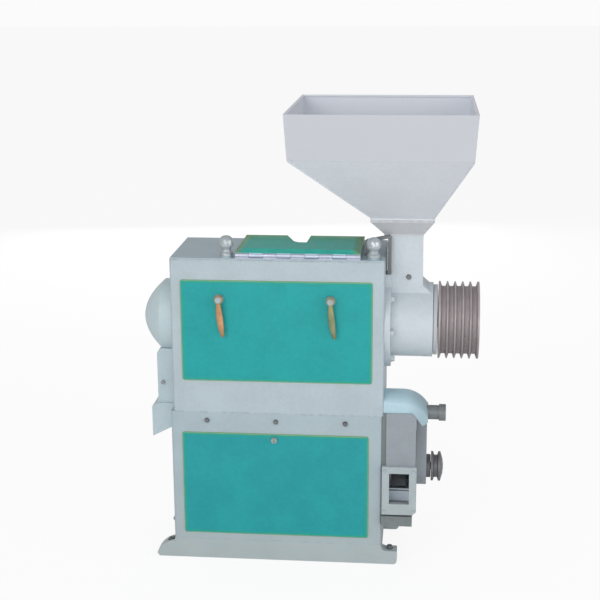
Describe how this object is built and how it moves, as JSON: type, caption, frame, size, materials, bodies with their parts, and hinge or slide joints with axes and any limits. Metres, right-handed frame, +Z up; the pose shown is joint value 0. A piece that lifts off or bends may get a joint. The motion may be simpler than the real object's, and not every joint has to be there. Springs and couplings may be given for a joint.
{
  "type": "corn dehuller",
  "caption": "Horizontal emery-roll corn dehuller with feed hopper, belt pulley, suction blower, lift-off panels and a weighted discharge gate.",
  "frame": {"origin": "centre of the anchor bolt pattern, on the floor under the cabinet", "axes": "+X along the main shaft towards its pulley, +Y away from the operator, +Z up"},
  "size_m": [0.853, 0.47, 1.161],
  "materials": {
    "casing_paint": "light blue-grey enamel, semi-gloss",
    "panel_paint": "teal enamel, semi-gloss, slightly mottled",
    "cover_paint": "green enamel with a teal crown, semi-gloss",
    "hopper_paint": "pale grey enamel, semi-gloss",
    "throat_paint": "mid grey enamel",
    "deck_paint": "grey enamel, mottled, satin",
    "foot_paint": "painted casting, blue-grey",
    "housing_paint": "painted casting, pale grey, slight casting texture",
    "hood_paint": "light blue enamel",
    "blower_paint": "grey enamel",
    "outlet_paint": "light grey enamel",
    "bracket_paint": "mid grey paint",
    "pulley_iron": "bare cast iron, machined grooves",
    "small_pulley_iron": "grey cast iron",
    "bright_steel": "turned steel",
    "sheet_steel": "plain steel sheet",
    "hinge_steel": "zinc-plated steel",
    "emery": "bonded emery, coarse",
    "knob_steel": "plated domed hand nuts",
    "handle_bronze": "orange-brown hand lever",
    "handle_brass": "brassy hand lever"
  },
  "bodies": {
    "frame": {"foot_frame": "foot_paint", "lower_cabinet": "casing_paint", "upper_casing": "casing_paint", "casing_front": "casing_paint", "bran_hopper": "sheet_steel", "top_plate": "deck_paint", "cover_curb": "deck_paint", "cover_hinge": "hinge_steel", "stay_bar": "bracket_paint", "upper_screen": "sheet_steel", "lower_screen": "sheet_steel", "screen_rails": "sheet_steel", "feed_housing": "housing_paint", "right_bearing_housing": "housing_paint", "right_bearing": "bright_steel", "discharge_housing": "housing_paint", "left_bearing_housing": "housing_paint", "left_bearing": "bright_steel", "nose_cap": "housing_paint", "discharge_chute": "casing_paint", "discharge_spout": "casing_paint", "hopper": "hopper_paint", "gate_runners": "throat_paint", "throat": "throat_paint", "blower_volute": "blower_paint", "blower_outlet": "outlet_paint", "blower_hanger": "blower_paint", "blower_inlet_box": "blower_paint", "blower_bearing_housing": "small_pulley_iron", "blower_bracket": "bracket_paint", "suction_elbow": "hood_paint", "air_spigot": "small_pulley_iron"},
    "main_rotor": {"main_shaft": "bright_steel", "roll_spacers": "sheet_steel", "feed_screw": "sheet_steel", "discharge_paddle": "sheet_steel", "main_pulley": "pulley_iron", "shaft_nut": "bright_steel", "emery_roll_1": "emery", "emery_roll_2": "emery", "emery_roll_3": "emery"},
    "blower_rotor": {"blower_impeller": "sheet_steel", "blower_shaft": "bright_steel", "blower_pulley": "small_pulley_iron"},
    "access_panel": {"access_panel": "panel_paint", "access_panel_rim": "panel_paint"},
    "left_latch": {"left_latch_spindle": "bright_steel", "left_latch_handle": "handle_bronze"},
    "right_latch": {"right_latch_spindle": "bright_steel", "right_latch_handle": "handle_brass"},
    "lower_panel": {"lower_panel": "panel_paint"},
    "lower_panel_latch": {"lower_panel_latch": "bright_steel"},
    "top_cover": {"top_cover": "cover_paint"},
    "left_clamp_knob": {"left_clamp_knob": "knob_steel"},
    "right_clamp_knob": {"right_clamp_knob": "knob_steel"},
    "feed_gate": {"feed_gate": "sheet_steel"},
    "pressure_gate": {"pressure_gate": "sheet_steel", "gate_lever": "bright_steel"},
    "counterweight": {"counterweight": "pulley_iron"},
    "air_cap": {"air_cap": "small_pulley_iron"}
  },
  "joints": [
    {"name": "main_shaft_spin", "type": "hinge", "parent": "frame", "child": "main_rotor", "pos_m": [0, 0, 0.62], "axis": [1, 0, 0], "continuous": true},
    {"name": "blower_shaft_spin", "type": "hinge", "parent": "frame", "child": "blower_rotor", "pos_m": [0.378, -0.02, 0.232], "axis": [1, 0, 0], "continuous": true},
    {"name": "access_panel_lift_off", "type": "slide", "parent": "frame", "child": "access_panel", "axis": [0, -1, 0], "range_m": [0, 0.15]},
    {"name": "left_latch_turn", "type": "hinge", "parent": "access_panel", "child": "left_latch", "pos_m": [-0.142, -0.128, 0.697], "axis": [0, 1, 0], "range_deg": [0, 90]},
    {"name": "right_latch_turn", "type": "hinge", "parent": "access_panel", "child": "right_latch", "pos_m": [0.134, -0.128, 0.697], "axis": [0, -1, 0], "range_deg": [0, 90]},
    {"name": "lower_panel_lift_off", "type": "slide", "parent": "frame", "child": "lower_panel", "axis": [0, -1, 0], "range_m": [0, 0.12]},
    {"name": "lower_panel_latch_turn", "type": "hinge", "parent": "lower_panel", "child": "lower_panel_latch", "pos_m": [-0.009, -0.128, 0.3315], "axis": [0, -1, 0], "range_deg": [0, 90]},
    {"name": "top_cover_hinge", "type": "hinge", "parent": "frame", "child": "top_cover", "pos_m": [0.0525, -0.119, 0.8051], "axis": [1, 0, 0], "range_deg": [0, 24]},
    {"name": "left_clamp_knob_turn", "type": "hinge", "parent": "frame", "child": "left_clamp_knob", "pos_m": [-0.125, -0.105, 0.82], "axis": [0, 0, 1], "continuous": true},
    {"name": "right_clamp_knob_turn", "type": "hinge", "parent": "frame", "child": "right_clamp_knob", "pos_m": [0.237, -0.105, 0.82], "axis": [0, 0, 1], "continuous": true},
    {"name": "feed_gate_slide", "type": "slide", "parent": "frame", "child": "feed_gate", "axis": [0, -1, 0], "range_m": [0, 0.143]},
    {"name": "pressure_gate_swing", "type": "hinge", "parent": "frame", "child": "pressure_gate", "pos_m": [-0.303, 0, 0.455], "axis": [0, 1, 0], "range_deg": [0, 40]},
    {"name": "counterweight_slide", "type": "slide", "parent": "pressure_gate", "child": "counterweight", "axis": [0, 0, 1], "range_m": [0, 0.04]},
    {"name": "air_cap_turn", "type": "hinge", "parent": "frame", "child": "air_cap", "pos_m": [0.405, -0.0865, 0.402], "axis": [1, 0, 0], "range_deg": [0, 90]}
  ]
}
